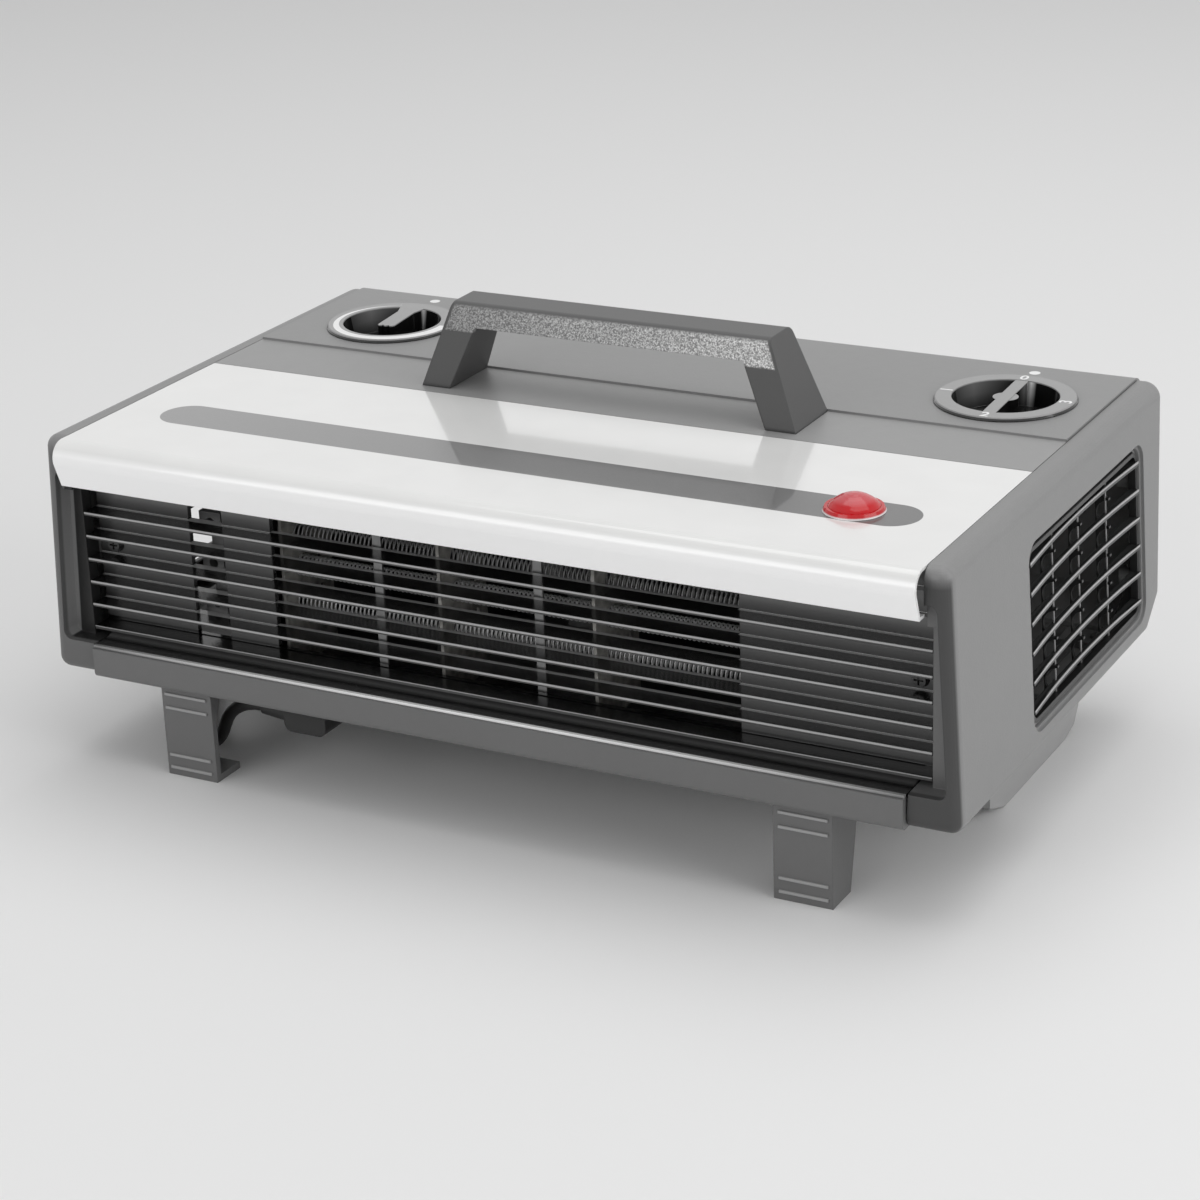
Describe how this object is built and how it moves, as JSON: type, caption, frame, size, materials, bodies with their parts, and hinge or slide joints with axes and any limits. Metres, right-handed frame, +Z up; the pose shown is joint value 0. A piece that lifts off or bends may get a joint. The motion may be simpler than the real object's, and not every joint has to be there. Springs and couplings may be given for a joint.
{
  "type": "fan heater",
  "caption": "Low floor-standing electric fan heater with louvred front outlet, grilled side cheeks, carrying handle, thermostat and heat selector dials on top, and a coiled power cord",
  "frame": {"origin": "on the floor under the centre of the heater, without the free cord", "axes": "+Z up, -Y the outlet side, +X the right cheek seen from the outlet side"},
  "size_m": [0.3454, 0.2894, 0.1535],
  "materials": {
    "cheek_grey": "moulded thermoplastic, satin, mid grey",
    "cover_grey": "moulded thermoplastic, satin, mid grey",
    "plate_white": "sheet steel with white enamel and a printed grey band",
    "bar_grey": "moulded thermoplastic, satin, darker grey",
    "leg_grey": "moulded thermoplastic, satin, darker grey",
    "handle_grey": "moulded thermoplastic with a leather grain on the grip",
    "grille_black": "heat-resistant moulding, glossy black",
    "dial_black": "moulded thermoplastic, glossy black",
    "screw_steel": "zinc-plated steel",
    "screw_black": "blackened steel",
    "lamp_rim_clear": "pale translucent plastic",
    "lamp_red": "red translucent plastic",
    "neon_glass": "small glass tube",
    "spindle_brass": "turned brass",
    "spindle_steel": "turned steel",
    "thermostat_ceramic": "fired ceramic",
    "switch_black": "phenolic moulding, black",
    "core_steel": "laminated and turned steel",
    "coil_copper": "enamelled copper winding under tape",
    "bridge_alloy": "die-cast alloy",
    "bearing_bronze": "sintered bronze",
    "wheel_alloy": "pressed aluminium",
    "scroll_grey": "moulded thermoplastic, dark grey",
    "sheet_steel": "zinc-plated sheet steel",
    "mica_board": "pressed mica board",
    "heating_wire": "heating alloy wire, oxidised",
    "cutout_black": "phenolic moulding, black",
    "block_white": "white moulded terminal block",
    "gland_black": "black rubber-like moulding",
    "cord_black": "black flexible sheath",
    "plug_black": "black moulded plug",
    "pin_brass": "turned brass"
  },
  "bodies": {
    "casing": {"left_cheek": "cheek_grey", "right_cheek": "cheek_grey", "left_side_grille": "cheek_grey", "right_side_grille": "cheek_grey", "top_plate": "plate_white", "top_cover": "cover_grey", "handle": "handle_grey", "handle_screws": "screw_steel", "front_grille": "grille_black", "front_bar": "bar_grey", "front_screws": "screw_black", "base_pan": "bar_grey", "base_screws": "screw_steel", "back_cover": "cover_grey", "left_leg": "leg_grey", "right_leg": "leg_grey", "left_rear_foot": "cheek_grey", "right_rear_foot": "cheek_grey", "lamp_rim": "lamp_rim_clear", "lamp_lens": "lamp_red", "neon_lamp": "neon_glass", "thermostat_body": "thermostat_ceramic", "selector_switch": "switch_black", "dial_nuts": "spindle_steel", "motor_core": "core_steel", "motor_coil": "coil_copper", "motor_screws": "screw_steel", "left_bearing_bridge": "bridge_alloy", "right_bearing_bridge": "bridge_alloy", "left_bearing": "bearing_bronze", "right_bearing": "bearing_bronze", "left_scroll": "scroll_grey", "right_scroll": "scroll_grey", "motor_bracket": "sheet_steel", "heater_frame": "sheet_steel", "mica_board_1": "mica_board", "mica_board_2": "mica_board", "mica_board_3": "mica_board", "mica_board_4": "mica_board", "heating_coil_1": "heating_wire", "heating_coil_2": "heating_wire", "heating_coil_3": "heating_wire", "thermal_cutout": "cutout_black", "terminal_block": "block_white", "cord_gland": "gland_black", "power_cord": "cord_black", "cord_coil": "cord_black", "plug": "plug_black", "plug_pins": "pin_brass"},
    "fan_rotor": {"rotor": "core_steel", "motor_shaft": "core_steel", "left_blower_wheel": "wheel_alloy", "right_blower_wheel": "wheel_alloy"},
    "thermostat_knob": {"thermostat_dial": "dial_black", "thermostat_spindle": "spindle_brass"},
    "selector_knob": {"selector_dial": "dial_black", "selector_spindle": "spindle_steel"}
  },
  "joints": [
    {"name": "fan_spin", "type": "hinge", "parent": "casing", "child": "fan_rotor", "pos_m": [-0.008, 0.022, 0.0775], "axis": [1, 0, 0], "continuous": true},
    {"name": "thermostat_turn", "type": "hinge", "parent": "casing", "child": "thermostat_knob", "pos_m": [-0.1222, 0.0595, 0.1233], "axis": [0, 0, -1], "range_deg": [0, 270]},
    {"name": "selector_turn", "type": "hinge", "parent": "casing", "child": "selector_knob", "pos_m": [0.1262, 0.0595, 0.1233], "axis": [0, 0, -1], "range_deg": [0, 270]}
  ]
}
